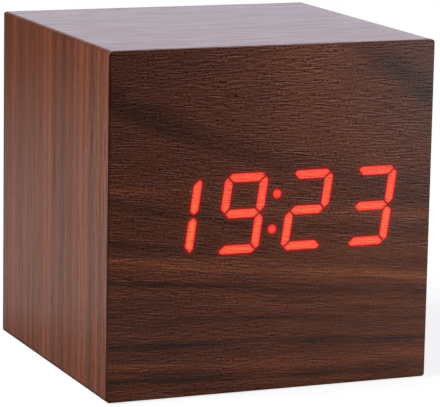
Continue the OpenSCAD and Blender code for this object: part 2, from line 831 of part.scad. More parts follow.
module button_pcb() {
    color("darkgreen") slab(button_pcb_in_y, button_pcb_y) difference() {
        rect(
            -button_pcb_half_w, button_pcb_half_w,
            button_z - button_pcb_half_h, button_z + button_pcb_half_h
        );
        for (post = posts)
            translate(post) circle(d = screw_d + 2 * pass_gap);
    }
}

module button_pcb_screws() {
    color("silver") for (post = posts)
        translate([post[0], button_pcb_in_y, post[1]]) rotate([90, 0, 0]) screw(pcb_screw_l);
}

module switch_bodies() {
    color("dimgray") for (x = switch_xs) translate([x, 0, button_z]) difference() {
        slab(button_pcb_y, switch_y) square(switch_s, center = true);
        slab(switch_y - plunger_bore, switch_y + over) circle(d = plunger_d + 2 * plunger_play);
    }
}

module set_switch_plunger() {
    switch_plunger(set_x);
}

module up_switch_plunger() {
    switch_plunger(up_x);
}

module down_switch_plunger() {
    switch_plunger(down_x);
}

module set_button() {
    push_button(set_x) circle(d = mark_s);
}

module up_button() {
    push_button(up_x) triangle_mark(-90);
}

module down_button() {
    push_button(down_x) triangle_mark(90);
}

module power_jack() {
    nose_y = cover_y - jack_gap;
    color("black") translate([jack_x, 0, button_z]) difference() {
        union() {
            slab(button_pcb_y, cover_in_y - jack_gap) square(jack_s, center = true);
            slab(cover_in_y - jack_gap, nose_y) circle(d = jack_nose_d);
        }
        slab(nose_y - jack_bore_l, nose_y + over) circle(d = jack_bore_d);
    }
}

module power_jack_pin() {
    nose_y = cover_y - jack_gap;
    color("gold") slab(nose_y - jack_bore_l, nose_y - jack_pin_sink)
        translate([jack_x, button_z]) circle(d = jack_pin_d);
}

module microphone() {
    color("silver") slab(button_pcb_y, button_pcb_y + microphone_h)
        translate([0, button_z]) circle(d = microphone_d);
}

module thermistor() {
    y = button_pcb_y + thermistor_d / 2;
    color("darkorange") translate([-button_pitch, y, button_z + thermistor_rise]) rotate([0, 90, 0])
        cylinder(d = thermistor_d, h = thermistor_l, center = true);
}

module rear_cover() {
    pin_bore_half_w = rebate_half_w + pin_l;
    color("black") {
        difference() {
            union() {
                slab(cover_in_y, cover_y)
                    round_rect(-cover_half_w, cover_half_w, cover_z0, cover_z1, cover_corner_r);
                slab(bay_back_y, cover_in_y) rect(
                    -bay_half_w - bay_wall, bay_half_w + bay_wall,
                    bay_z0 - bay_wall, bay_z1 + bay_wall
                );
                for (post = posts)
                    slab(button_pcb_y, cover_in_y) translate(post) circle(d = post_d);
            }
            slab(bay_floor_y, cover_y + over) rect(-bay_half_w, bay_half_w, bay_z0, bay_z1);
            slab(ledge_y, cover_y + over) rect(-rebate_half_w, rebate_half_w, rebate_z0, rebate_z1);
            slab(cover_y - notch_depth, cover_y + over)
                rect(-notch_w / 2, notch_w / 2, rebate_z1 - over, rebate_z1 + notch_h);
            along_x(-pin_bore_half_w, pin_bore_half_w)
                translate([hinge_y, hinge_z]) circle(d = pin_d + 2 * pin_play);
            for (side = [-1, 1], z = cover_screw_zs) translate([side * cover_screw_x, 0, z]) {
                slab(cover_in_y - over, cover_y + over) circle(d = screw_d + 2 * pass_gap);
                slab(sink_y, cover_y + over) circle(d = head_d + 2 * head_gap);
            }
            slab(cover_in_y - over, cover_y + over) {
                for (x = switch_xs)
                    translate([x, button_z]) circle(d = button_d + 2 * button_gap);
                translate([jack_x, button_z]) circle(d = jack_nose_d + 2 * jack_gap);
                translate([0, button_z]) circle(d = sound_hole_d);
                for (i = [0:vent_count - 1])
                    translate([(i - (vent_count - 1) / 2) * vent_pitch, cover_z0 + strip_h / 2])
                        circle(d = vent_d);
            }
            for (post = posts)
                slab(button_pcb_y - over, button_pcb_in_y + pcb_screw_l + tip_gap)
                    translate(post) circle(d = screw_d + 2 * bite_gap);
            on_side(positive_side) tail_slot(cell_zs[last_cell]);
            on_side(negative_side) tail_slot(cell_zs[0]);
        }
        for (i = [1:last_cell])
            slab(bay_floor_y, bay_floor_y + rib_h) translate([0, cell_zs[i] - cell_pitch / 2])
                square([cell_l / 2, rib_w], center = true);
    }
}

module rear_cover_screws() {
    color("silver") for (side = [-1, 1], z = cover_screw_zs)
        translate([side * cover_screw_x, sink_y, z]) rotate([-90, 0, 0]) screw(cover_screw_l);
}

module battery_door() {
    color("black") {
        difference() {
            union() {
                along_x(-door_half_w, door_half_w) {
                    rect(door_in_y, cover_y, hinge_z, door_z1);
                    translate([hinge_y, hinge_z]) circle(d = door_t);
                }
                along_x(-door_half_w - pin_l, door_half_w + pin_l)
                    translate([hinge_y, hinge_z]) circle(d = pin_d);
            }
            for (side = [-1, 1])
                slab(door_in_y - over, cover_y + over) translate([side * (tab_w + tab_slot) / 2, 0])
                    rect(-tab_slot / 2, tab_slot / 2, tab_z0, door_z1 + over);
        }
        slab(hinge_y - nose_t / 2, hinge_y + nose_t / 2)
            rect(-tab_w / 2, tab_w / 2, door_z1, door_z1 + nose_l);
        for (i = [0:ridge_count - 1])
            slab(cover_y, cover_y + ridge_h) translate([0, door_z1 - (i + 1) * ridge_pitch])
                square([tab_w - 2 * tab_slot, ridge_w], center = true);
    }
}

module battery_cells() {
    cell_r = cell_d / 2;
    body_l = cell_l - nub_l;
    color("seagreen") for (i = [0:last_cell]) on_side(cell_sides[i])
        translate([bay_half_w - contact_t - cell_l, cell_y, cell_zs[i]]) rotate([0, 90, 0])
        rotate_extrude() polygon([
            [0, 0], [cell_r - cell_edge, 0], [cell_r, cell_edge], [cell_r, body_l - cell_edge],
            [cell_r - cell_edge, body_l], [nub_d / 2, body_l], [nub_d / 2, cell_l], [0, cell_l]
        ]);
}

module positive_contact() {
    z = cell_zs[last_cell];
    color("silver") on_side(positive_side) {
        contact_plate(z, z);
        contact_tail(z);
    }
}

module negative_contact() {
    color("silver") on_side(negative_side) {
        contact_plate(cell_zs[0], cell_zs[0]);
        contact_tail(cell_zs[0]);
    }
}

module bridge_contacts() {
    color("silver") for (i = [0:last_cell - 1])
        on_side(cell_sides[i]) contact_plate(cell_zs[i], cell_zs[i + 1]);
}

module contact_springs() {
    ways = headings(spring_points);
    last = len(spring_points) - 1;
    rings = [
        for (i = [0:last])
            let (way = i == 0 || i == last ? [1, 0, 0] : ways[i])
            ring(spring_points[i], way, spring_normals[i], spring_wire / 2, SPRING_SIDES)
    ];
    color("silver") for (i = [0:last_cell]) on_side(cell_sides[i])
        translate([contact_t - bay_half_w, cell_y, cell_zs[i]])
        polyhedron([for (r = rings) each r], tube_faces(last + 1, SPRING_SIDES));
}

module battery_lead_red() {
    color("red") lead(positive_side, cell_zs[last_cell], lead_x);
}

module battery_lead_black() {
    color("black") lead(negative_side, cell_zs[0], -lead_x);
}

front_film();
lit_segments();
front_board();
top_board();
bottom_board();
left_board();
right_board();
corner_blocks();
diffuser_sheet();
light_mask();
led_chips();
display_pcb();
display_screws();
clock_chip();
crystal();
capacitor();
buzzer();
ribbon_headers();
ribbon_cable();
button_pcb();
button_pcb_screws();
switch_bodies();
set_switch_plunger();
up_switch_plunger();
down_switch_plunger();
set_button();
up_button();
down_button();
power_jack();
power_jack_pin();
microphone();
thermistor();
rear_cover();
rear_cover_screws();
battery_door();
battery_cells();
positive_contact();
negative_contact();
bridge_contacts();
contact_springs();
battery_lead_red();
battery_lead_black();
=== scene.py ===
"""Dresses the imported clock: a cube-shaped table clock in wood-grain film, with a red display behind it."""

import math
from functools import reduce

import bpy
from mathutils import Matrix, Vector


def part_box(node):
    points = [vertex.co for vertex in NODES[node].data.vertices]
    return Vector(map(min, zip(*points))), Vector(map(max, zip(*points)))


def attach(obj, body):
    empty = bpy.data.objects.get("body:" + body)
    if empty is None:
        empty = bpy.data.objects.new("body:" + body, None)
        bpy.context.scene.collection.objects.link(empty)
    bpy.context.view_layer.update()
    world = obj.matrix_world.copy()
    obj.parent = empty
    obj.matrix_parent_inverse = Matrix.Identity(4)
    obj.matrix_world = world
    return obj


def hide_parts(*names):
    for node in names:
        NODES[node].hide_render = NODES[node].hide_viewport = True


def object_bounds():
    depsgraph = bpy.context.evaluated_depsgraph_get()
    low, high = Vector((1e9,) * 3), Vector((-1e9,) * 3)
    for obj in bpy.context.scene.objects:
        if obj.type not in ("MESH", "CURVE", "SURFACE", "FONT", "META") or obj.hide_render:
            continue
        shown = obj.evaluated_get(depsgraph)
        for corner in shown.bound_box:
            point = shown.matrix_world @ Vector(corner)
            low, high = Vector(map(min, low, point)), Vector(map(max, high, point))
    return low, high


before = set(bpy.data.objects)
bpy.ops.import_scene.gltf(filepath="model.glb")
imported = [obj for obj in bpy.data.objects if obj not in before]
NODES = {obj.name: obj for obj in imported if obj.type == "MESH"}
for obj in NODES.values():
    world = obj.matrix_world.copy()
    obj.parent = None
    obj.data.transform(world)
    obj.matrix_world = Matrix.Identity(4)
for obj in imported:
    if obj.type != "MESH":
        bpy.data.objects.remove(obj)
cad_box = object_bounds()
MM = 0.001
WHITE = (1.0, 1.0, 1.0, 1.0)
DARKEST = (0.0005, 0.0005, 0.0005)
BEVEL_SAMPLES = 6


class Number:
    """A number that shader nodes work out at each point of a surface."""

    def __init__(self, graph, socket):
        self.graph = graph
        self.socket = socket

    def do(self, operation, *others):
        """The number that a maths node of the named kind makes of this one and the others."""
        inputs = dict(enumerate((self, *others)))
        node = self.graph.node("ShaderNodeMath", inputs, operation=operation)
        return Number(self.graph, node.outputs[0])

    def __add__(self, other):
        return self.do("ADD", other)

    def __sub__(self, other):
        return self.do("SUBTRACT", other)

    def __mul__(self, other):
        return self.do("MULTIPLY", other)

    def __truediv__(self, other):
        return self.do("DIVIDE", other)

    def __rsub__(self, other):
        return self.do("MULTIPLY_ADD", -1.0, other)

    __radd__ = __add__
    __rmul__ = __mul__

    def absolute(self):
        return self.do("ABSOLUTE")

    def least(self, other):
        return self.do("MINIMUM", other)

    def most(self, other):
        return self.do("MAXIMUM", other)

    def step(self, low, high):
        """0 below low, 1 above high, and smooth between them. It falls instead where low is above high."""
        rising = low < high
        inputs = {
            "Value": self,
            "From Min": min(low, high),
            "From Max": max(low, high),
            "To Min": 0.0 if rising else 1.0,
            "To Max": 1.0 if rising else 0.0,
        }
        node = self.graph.node("ShaderNodeMapRange", inputs, interpolation_type="SMOOTHSTEP")
        return Number(self.graph, node.outputs["Result"])

    def hump(self, centre, half_width):
        """A bell that is 1 at the centre and fades over the half width."""
        reach = (self - centre) / half_width
        return (reach * reach * -1.0).do("EXPONENT")


class Graph:
    """A tree of shader nodes, with short ways to add to it."""

    def __init__(self, tree):
        self.tree = tree

    def node(self, kind, inputs=None, **settings):
        """A new node with the given settings, and then with the named or numbered inputs fed."""
        node = self.tree.nodes.new(kind)
        for key, value in settings.items():
            setattr(node, key, value)
        for key, value in (inputs or {}).items():
            self.feed(node.inputs[key], value)
        return node

    def feed(self, socket, value):
        """Links a worked-out value to a socket, or sets a plain one on it."""
        if isinstance(value, Number):
            value = value.socket
        if isinstance(value, bpy.types.NodeSocket):
            self.tree.links.new(value, socket)
        else:
            socket.default_value = value

    def split(self, socket):
        """The X, Y and Z of a vector."""
        node = self.node("ShaderNodeSeparateXYZ", {0: socket})
        return [Number(self, output) for output in node.outputs]

    def measure(self, operation, vector, other):
        """The number that two vectors give."""
        node = self.node("ShaderNodeVectorMath", {0: vector, 1: other}, operation=operation)
        return Number(self, node.outputs["Value"])


class Paint(Graph):
    """A new material for pieces of the clock. Places are in millimetres, on the piece at rest."""

    def __init__(self, name, **sockets):
        self.material = bpy.data.materials.new(name)
        self.material.use_nodes = True
        super().__init__(self.material.node_tree)
        self.shader = self.tree.nodes["Principled BSDF"]
        self.place_node = None
        for key, value in sockets.items():
            self.set(key.replace("_", " ").title().replace("Ior", "IOR"), value)

    def set(self, name, value):
        """Feeds one of the inputs of the material's shader."""
        self.feed(self.shader.inputs[name], value)

    def coordinates(self):
        """The node that gives places and ways, made when it is first asked for."""
        if self.place_node is None:
            self.place_node = self.node("ShaderNodeTexCoord")
        return self.place_node

    def place(self):
        """The point's X, Y and Z in millimetres."""
        return [value * (1 / MM) for value in self.split(self.coordinates().outputs["Object"])]

    def facing(self):
        """The X, Y and Z of the way that the surface faces."""
        return self.split(self.coordinates().outputs["Normal"])

    def vector(self, x, y, z=0.0):
        """A vector made of three numbers."""
        return self.node("ShaderNodeCombineXYZ", {0: x, 1: y, 2: z}).outputs[0]

    def noise(self, x, y, z=0.0, detail=2.0, roughness=0.5):
        """Soft noise about 1 unit wide in each of the given values, from 0 to 1 and mostly near 0.5."""
        inputs = {"Vector": self.vector(x, y, z), "Scale": 1.0, "Detail": detail, "Roughness": roughness}
        return Number(self, self.node("ShaderNodeTexNoise", inputs).outputs[0])

    def grains(self, size, z=0.0, detail=2.0):
        """Noise that is as wide each way, with grains of the given size."""
        x, y, height = self.place()
        return self.noise(x / size, y / size, height / size + z, detail)

    def mix(self, amount, a, b):
        """A colour that goes from a to b as the amount grows from 0 to 1."""
        return self.node("ShaderNodeMix", {0: amount, 6: a, 7: b}, data_type="RGBA").outputs[2]

    def lighten(self, colour, amount, by):
        """The colour with an amount of another one added, or taken away where the amount is below 0."""
        changed = self.node("ShaderNodeVectorMath", {0: amount, 1: by, 2: colour}, operation="MULTIPLY_ADD")
        kept = self.node("ShaderNodeVectorMath", {0: changed.outputs[0], 1: DARKEST}, operation="MAXIMUM")
        return kept.outputs[0]

    def ramp(self, amount, *stops):
        """A colour that runs through (place, colour) stops as the amount grows from 0 to 1."""
        node = self.node("ShaderNodeValToRGB", {0: amount})
        elements = node.color_ramp.elements
        while len(elements) < len(stops):
            elements.new(1.0)
        for element, (place, colour) in zip(elements, stops):
            element.position = place
            element.color = colour
        return node.outputs[0]

    def blend(self, amount, dark, light, low=0.3, high=0.7):
        """A colour that goes from dark to light as the amount grows from low to high."""
        return self.ramp(amount, (low, dark), (high, light))

    def lean(self, amount, way):
        """The way that the surface faces, turned towards another way by an amount from 0 to 1."""
        facing = self.node("ShaderNodeNewGeometry").outputs["Normal"]
        turned = self.node("ShaderNodeMix", {0: amount, 4: facing, 5: way}, data_type="VECTOR")
        return self.node("ShaderNodeVectorMath", {0: turned.outputs[1]}, operation="NORMALIZE").outputs[0]

    def bump(self, height, depth, edge=0.0, normal=None):
        """Raises the surface by up to depth millimetres, with edges rounded by edge, or facing normal."""
        inputs = {"Strength": 1.0, "Distance": depth * MM, "Height": height}
        if edge:
            normal = self.node("ShaderNodeBevel", {"Radius": edge * MM}, samples=BEVEL_SAMPLES).outputs[0]
        if normal:
            inputs["Normal"] = normal
        self.set("Normal", self.node("ShaderNodeBump", inputs).outputs[0])


def wear(paint, *names):
    """Gives the material to the named CAD nodes."""
    for name in names:
        mesh = NODES[name].data
        mesh.materials.clear()
        mesh.materials.append(paint.material)


# The sizes that the materials follow, in millimetres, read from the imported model
case_low, case_high = [corner / MM for corner in cad_box]
case_width = case_high.x - case_low.x
case_height = case_high.z - case_low.z
cell_low, cell_high = [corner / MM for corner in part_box("battery_cells")]
cell_radius = (cell_high.y - cell_low.y) / 2

# The film: a satin print of walnut, with dark, middle and light wood
DARK_WOOD = (0.029, 0.0088, 0.0048, 1.0)
MIDDLE_WOOD = (0.128, 0.0345, 0.0155, 1.0)
LIGHT_WOOD = (0.290, 0.0850, 0.0330, 1.0)
# The grey of the fine lines is partly the print's grain and partly a painted sheen on the raised lines
FINE_LINES_AND_SHEEN = (0.112, 0.062, 0.053)
FILM = dict(roughness=0.3, ior=1.5, specular_ior_level=0.16, specular_tint=(0.91, 0.82, 0.79, 1.0))
FRONT_FILM = dict(roughness=0.3, ior=1.5, specular_ior_level=0.26, specular_tint=(1.0, 0.96, 0.96, 1.0))

# The film darker along the front's left edge, with painted shade along the foot, top fold and rear edge of
# the sides, and a painted highlight along the top of the front
EDGE_DARK_AND_SHADE = (0.035, 0.0080, 0.0040, 1.0)
CREST_HIGHLIGHT = (0.50, 0.38, 0.40, 1.0)

# The fine grain of the film: millimetres along the grain and across it
HAIR_SIZE = (2.8, 0.24)
SPECK_SIZE = (0.5, 0.2)
GUST_SIZE = (5.0, 1.2)

# The board under the film of the sides
BOARD_DARK = (0.16, 0.09, 0.045, 1.0)
BOARD_LIGHT = (0.34, 0.21, 0.115, 1.0)
BOARD_SPECK = 0.5

# The display's light, as it comes through the film
LIT_FILM = (0.06, 0.006, 0.003, 1.0)
BAR_RED = (0.94, 0.056, 0.035, 1.0)
BAR_PINK = (1.0, 0.105, 0.085, 1.0)
BAR_ORANGE = (1.0, 0.120, 0.044, 1.0)
ONE_ORANGE = (1.0, 0.160, 0.040, 1.0)
DOT_RED = (1.0, 0.044, 0.027, 1.0)
MOTTLE_SIZE = 0.8
PINK_SIZE = 0.5

# The film close to the lit segments: a dark rim, light that seeps out and a faint haze, in millimetres
RIM_DARK = (0.010, 0.001, 0.001, 1.0)
SEEP_RED = (1.0, 0.020, 0.012, 1.0)
RIM_REACH = 0.42
SEEP_REACH = 0.17
HAZE_REACH = 3.0

# The figure of the front: streaks that run right across it. Each has its millimetres from the top at the
# left, in the middle and at the right, its half width, and how much lighter it is at the left and the right
FRONT_STREAKS = (
    (-33.5, -11.5, 10.3, 3.0, 0.0, -0.30),
    (8.6, 21.6, 27.2, 2.6, -0.21, -0.17),
    (12.2, 23.5, 30.0, 1.4, 0.09, 0.0),
    (24.8, 30.3, 33.0, 0.8, 0.0, 0.19),
    (25.0, 27.4, 30.2, 0.8, 0.20, -0.20),
    (27.2, 33.2, 35.7, 0.8, -0.15, -0.19),
    (34.9, 37.6, 39.5, 0.8, -0.17, 0.05),
    (37.5, 39.5, 42.0, 0.6, 0.19, -0.17),
    (38.2, 41.4, 44.8, 0.8, 0.24, 0.32),
    (41.5, 44.9, 47.5, 0.7, -0.26, -0.26),
    (44.5, 47.9, 49.8, 0.7, 0.03, 0.0),
    (47.9, 50.6, 52.3, 0.6, -0.18, -0.15),
    (51.3, 52.6, 53.8, 0.5, 0.035, 0.0),
    (53.7, 55.3, 56.3, 0.7, -0.145, -0.28),
    (57.6, 58.8, 59.5, 0.7, 0.22, 0.18),
    (60.3, 61.3, 62.0, 0.7, -0.20, -0.14),
)
FRONT_TONE = 0.345

# The stripes of the film round the sides: millimetres from the front, half width and how much lighter. The
# first one, along the front edge, is a painted highlight
SIDE_STRIPES = (
    (0.7, 0.4, 0.12),
    (1.8, 0.6, 0.08),
    (3.9, 0.6, -0.08),
    (5.8, 0.7, 0.10),
    (8.9, 1.0, -0.16),
    (11.5, 0.9, 0.12),
    (14.3, 1.0, 0.14),
    (17.6, 0.6, 0.12),
    (19.3, 0.5, -0.10),
    (21.9, 0.7, 0.05),
    (24.1, 1.0, -0.17),
    (27.0, 0.7, 0.04),
    (29.1, 0.8, -0.15),
    (31.6, 0.8, 0.15),
    (34.2, 0.7, 0.15),
    (40.1, 0.6, -0.09),
    (43.2, 0.6, -0.09),
    (44.8, 0.6, 0.06),
    (48.5, 1.0, -0.10),
    (53.0, 0.9, 0.12),
    (56.2, 0.9, -0.10),
)
SIDE_TONE = 0.53
TOP_FIGURE = 0.65


def wood_look(paint, along, across, tone, seed, stretch=1.0, hair=1.0):
    """Colours, pores and fine lines of the film, from how light the wood is. The grain runs along."""
    length = along / (HAIR_SIZE[0] * stretch)
    row = across / HAIR_SIZE[1]
    hairs = paint.noise(length, row, seed + 3.0, 0.0) - paint.noise(length, row + 1.0, seed + 3.0, 0.0)
    specks = paint.noise(along / (SPECK_SIZE[0] * stretch), across / SPECK_SIZE[1], seed + 6.0, 0.0) - 0.5
    gusts = paint.noise(along / (GUST_SIZE[0] * stretch), across / GUST_SIZE[1], seed + 12.0, 1.0)
    fine = (hairs * 1.4 + specks * 1.4) * (gusts * 2.4 - 0.2) * hair
    colour = paint.ramp(tone, (0.08, DARK_WOOD), (0.5, MIDDLE_WOOD), (1.0, LIGHT_WOOD))
    colour = paint.lighten(colour, fine * (tone * 2.0 + 0.1).most(0.2), FINE_LINES_AND_SHEEN)
    return colour, hairs.step(-0.12, -0.32), fine


def lit_islands():
    """The points of each lit segment in X and Z, in millimetres. A segment is a loose part of the mesh."""
    mesh = NODES["lit_segments"].data
    spots = {}
    index = []
    for vertex in mesh.vertices:
        key = tuple(round(value * 1e6) for value in vertex.co)
        index.append(spots.setdefault(key, len(spots)))
    owner = list(range(len(spots)))

    def root(spot):
        while owner[spot] != spot:
            owner[spot] = owner[owner[spot]]
            spot = owner[spot]
        return spot

    for a, b in (edge.vertices for edge in mesh.edges):
        owner[root(index[a])] = root(index[b])
    islands = {}
    for key, spot in spots.items():
        islands.setdefault(root(spot), set()).add((key[0] * MM, key[2] * MM))
    return sorted(sorted(points) for points in islands.values())


def outline(points):
    """The corners of the smallest convex outline round the points, anticlockwise."""
    chain = []
    for ordered in (points, points[::-1]):
        start = len(chain)
        for x, z in ordered:
            while len(chain) >= start + 2:
                (ax, az), (bx, bz) = chain[-2:]
                if (bx - ax) * (z - az) - (bz - az) * (x - ax) > 1e-4:
                    break
                chain.pop()
            chain.append((x, z))
        chain.pop()
    return chain


# A segment with more corners than a bar is a dot. The corners of a bar are rounded by a few tenths
LIT_SEGMENTS = lit_islands()
MOST_BAR_CORNERS = 8
CORNER_BLEND = 0.3


def glow_distance(paint, x, z):
    """Millimetres from the edge of the nearest lit bar and of the nearest dot, below 0 inside it."""
    here = paint.vector(x, z, 1.0)
    bars = []
    dots = []
    for points in LIT_SEGMENTS:
        corners = outline(points)
        if len(corners) > MOST_BAR_CORNERS:
            middle = Vector((sum(p[0] for p in corners), sum(p[1] for p in corners))) / len(corners)
            radius = (Vector(corners[0]) - middle).length
            dots.append(paint.measure("DISTANCE", here, (*middle, 1.0)) - radius)
            continue
        sides = []
        for (ax, az), (bx, bz) in zip(corners, corners[1:] + corners[:1]):
            length = math.hypot(bx - ax, bz - az)
            nx = (bz - az) / length
            nz = (ax - bx) / length
            sides.append(paint.measure("DOT_PRODUCT", here, (nx, nz, -nx * ax - nz * az)))
        bars.append(reduce(lambda a, b: a.do("SMOOTH_MAX", b, CORNER_BLEND), sides))
    return reduce(Number.least, bars), reduce(Number.least, dots)


def front_grain(paint):
    """The front's figure, the same on the film and on the lit patches, and the point's X and Z."""
    x, y, z = paint.place()
    u = x - case_low.x
    v = case_high.z - z
    share = u / case_width
    sway = (paint.noise(u / 14.0, v / 7.0, 4.0, 1.0) - 0.5) * 1.6
    slant = (u - case_width / 2) * (v.step(0.0, 34.0) * 0.1 - v.step(38.0, 60.0) * 0.07)
    drop = u.step(4.0, 32.0) * v.step(0.0, 18.0) * v.step(46.0, 22.0)
    flow = v + sway - slant - drop * 7.0
    across = v + sway * 0.3 - slant - drop
    streaks = []
    for left, middle, right, half_width, light_left, light_right in FRONT_STREAKS:
        bend = 2 * (left - 2 * middle + right)
        centre = (share * bend + (right - left - bend)) * share + left
        streak = (v + sway * 0.4 - centre).hump(0.0, half_width)
        streaks.append(streak * (share * (light_right - light_left) + light_left))
    uneven = paint.noise(u / 9.0, flow / 0.5, 8.0, 1.0) * 1.8 + 0.1
    # Lighter and darker parts, by millimetres from the left and from the top
    parts = (
        u.hump(40.0, 10.0) * v.hump(2.0, 6.0) * 0.08,
        u.hump(36.0, 22.0) * v.hump(31.0, 8.0) * -0.06,
        u.step(40.0, 60.0) * v.step(46.0, 58.0) * 0.10,
        u.step(28.0, 8.0) * v.hump(31.0, 11.0) * 0.07,
        v.hump(44.0, 5.0) * 0.06,
        u.step(46.0, 62.0) * v.step(24.0, 6.0) * -0.11,
        u.step(46.0, 64.0) * v.step(44.0, 30.0) * -0.06,
        # Lighter towards the right and less so low down: partly the print's tone, partly painted light
        u.step(0.0, 42.0) * (0.25 - v.step(30.0, 58.0) * 0.17),
    )
    calm = v.step(28.0, 44.0)
    narrow = paint.noise(u / 22.0, flow / 0.95, 0.0, 2.0, 0.55) - 0.5
    wide = paint.noise(u / 11.0, flow / 2.0, 2.0, 3.0, 0.6) - 0.5
    bands = narrow * (calm * 0.75 + 0.1) + wide * (0.35 - calm * 0.2)
    tone = sum(streaks) * uneven + bands + sum(parts) + FRONT_TONE
    hair = 1.02 - calm * (0.2 + u.step(20.0, 50.0) * 0.28)
    return wood_look(paint, u, across, tone, 0.0, hair=hair), (x, z)


def front_relief(paint, pores, fine):
    """The faint relief of the front: pores lie deeper and light lines stand out."""
    paint.bump(pores * -0.8 + fine * 0.8, 0.009)


def front_film_paint():
    """The film over the front. Light seeps a little way out round the lit segments."""
    paint = Paint("front_wood_film", **FRONT_FILM)
    (colour, pores, fine), (x, z) = front_grain(paint)
    bars, dots = glow_distance(paint, x, z)
    distance = bars.least(dots)
    rim = distance.step(RIM_REACH, 0.0)
    seep = (distance.most(0.0) / -SEEP_REACH).do("EXPONENT") * 0.40
    haze = distance.step(HAZE_REACH, 0.0) * 0.006
    from_left = x - case_low.x
    # The left edge of the front is darker, and a painted highlight runs along its top edge
    edge = from_left.step(0.45, 0.10)
    crest_highlight = (case_high.z - z).step(0.30, 0.05)
    colour = paint.mix(rim * 0.88, colour, RIM_DARK)
    colour = paint.mix(edge * 0.9, colour, EDGE_DARK_AND_SHADE)
    paint.set("Base Color", paint.mix(crest_highlight * 0.2, colour, CREST_HIGHLIGHT))
    paint.set("Emission Color", SEEP_RED)
    paint.set("Emission Strength", seep + haze)
    satin = from_left.step(38.0, 64.0) * 0.016 + fine * 0.10 - edge.most(rim) * 0.12
    paint.set("Roughness", 0.30 + pores * 0.1 + satin)
    front_relief(paint, pores, fine)
    return paint


def lit_film_paint():
    """The film where light comes through: orange in the middle of a bar, red at its edge, and red dots."""
    paint = Paint("lit_wood_film", **FRONT_FILM)
    (colour, pores, fine), (x, z) = front_grain(paint)
    bars, dots = glow_distance(paint, x, z)
    paint.set("Base Color", paint.mix(0.6, colour, LIT_FILM))
    mottle = paint.noise(x / MOTTLE_SIZE, z / MOTTLE_SIZE, 40.0, 1.0)
    low = (case_high.z - z).step(24.0, 32.0)
    warm = bars.step(-0.10, -0.75) * (0.45 + low * 0.55) * (0.35 + mottle * 1.2)
    orange = paint.mix(x.step(-10.0, -16.0), BAR_ORANGE, ONE_ORANGE)
    bar = paint.mix(warm, BAR_RED, orange)
    pink = paint.noise(x / PINK_SIZE, z / PINK_SIZE, 44.0, 1.0).step(0.45, 0.75)
    bar = paint.mix(pink * 0.5, bar, BAR_PINK)
    paint.set("Emission Color", paint.mix(dots.step(0.3, 0.2), bar, DOT_RED))
    # The tips of the two bars of the 1 stay dark where they meet. They are the first segments from the left
    lower, upper = LIT_SEGMENTS[:2]
    gap = (max(p[1] for p in lower) + min(p[1] for p in upper)) / 2
    one = max(p[0] for p in upper)
    tip = (z - gap).absolute().step(0.60, 0.30) * x.step(one + 0.5, one)
    core = bars.least(dots + 0.13).step(0.02, -0.20)
    lines = pores * 0.1 - fine * 0.4
    paint.set("Emission Strength", (0.40 + core * 0.58 - lines * core) * (1.0 - tip * 0.85))
    paint.set("Roughness", 0.36 + pores * 0.1)
    front_relief(paint, pores, fine)
    return paint


def side_film_paint(name, outward, along_of, figure=1.0):
    """The film of one side board. It wraps the outside and the rear rim, and the inside is bare board."""
    paint = Paint(name, **FILM)
    x, y, z = paint.place()
    along = along_of(x, z)
    depth = y - case_low.y
    up = z - case_low.z
    across = depth + (paint.noise(along / 40.0, depth / 12.0, 21.0, 1.0) - 0.5) * 0.8
    stripes = sum(across.hump(place, half_width) * light for place, half_width, light in SIDE_STRIPES)
    patchy = paint.noise(along / 16.0, depth / 2.2, 25.0, 2.0) * 2.6 - 0.15
    bands = (paint.noise(along / 60.0, across / 2.4, 30.0, 4.0, 0.6) - 0.5) * 0.4
    front = depth.step(17.0, 5.0)
    # Lighter at the upper front, partly the print and partly a painted sheen, and darker towards the rear
    slope = front * up.step(26.0, 42.0) * 0.06 - depth.step(44.0, 58.0) * 0.05
    tone = (stripes * patchy + bands + slope) * figure + SIDE_TONE
    hair = (0.19 + depth.step(24.0, 3.0) * 0.25) * figure
    colour, pores, fine = wood_look(paint, along, across * 0.36, tone, 30.0, 3.0, hair)
    facing = paint.facing()
    outside = facing[0] * outward[0] + facing[2] * outward[1]
    inside = outside.step(-0.3, -0.6)
    # The left and right boards have painted shade at their foot and along their top fold, and are glossier
    # high up
    upright = abs(outward[0])
    foot_shade = (up.step(1.2, 0.5) * 0.75 + up.step(7.0, 1.0) * 0.04) * upright
    fold_shade = (case_high.z - z).step(0.85, 0.45) * (0.25 * upright)
    # Painted shade along the rear edge of every board
    rear = depth.step(58.0, 59.1) * 0.45
    colour = paint.mix(rear.most(foot_shade).most(fold_shade), colour, EDGE_DARK_AND_SHADE)
    speck = paint.noise(x / BOARD_SPECK, y / BOARD_SPECK, z / BOARD_SPECK, 3.0)
    paint.set("Base Color", paint.mix(inside, colour, paint.blend(speck, BOARD_DARK, BOARD_LIGHT)))
    gloss = up.step(36.0, 64.0) * (1.0 - front * 0.4) * (0.4 * upright)
    gloss = gloss - depth.step(2.2, 0.8) * (0.2 - 0.2 * upright)
    matt = outside.hump(0.78, 0.13) * 0.3 + inside * 0.4
    paint.set("Roughness", 0.363 + pores * 0.12 + fine * 0.03 + matt - gloss * 0.14)
    crisp = paint.lean(outside.step(0.68, 0.9) * 0.85, (outward[0], 0.0, outward[1]))
    paint.bump((pores * -0.6 + fine * 0.6) * figure, 0.01, normal=crisp)
    return paint


def left_strip(x, z):
    """Millimetres along the film that wraps the four sides, on the left one. The next three are alike."""
    return z


def top_strip(x, z):
    return x + (case_height + case_width / 2)


def right_strip(x, z):
    return (2 * case_height + case_width) - z


def bottom_strip(x, z):
    return x * -1.0 - case_width / 2


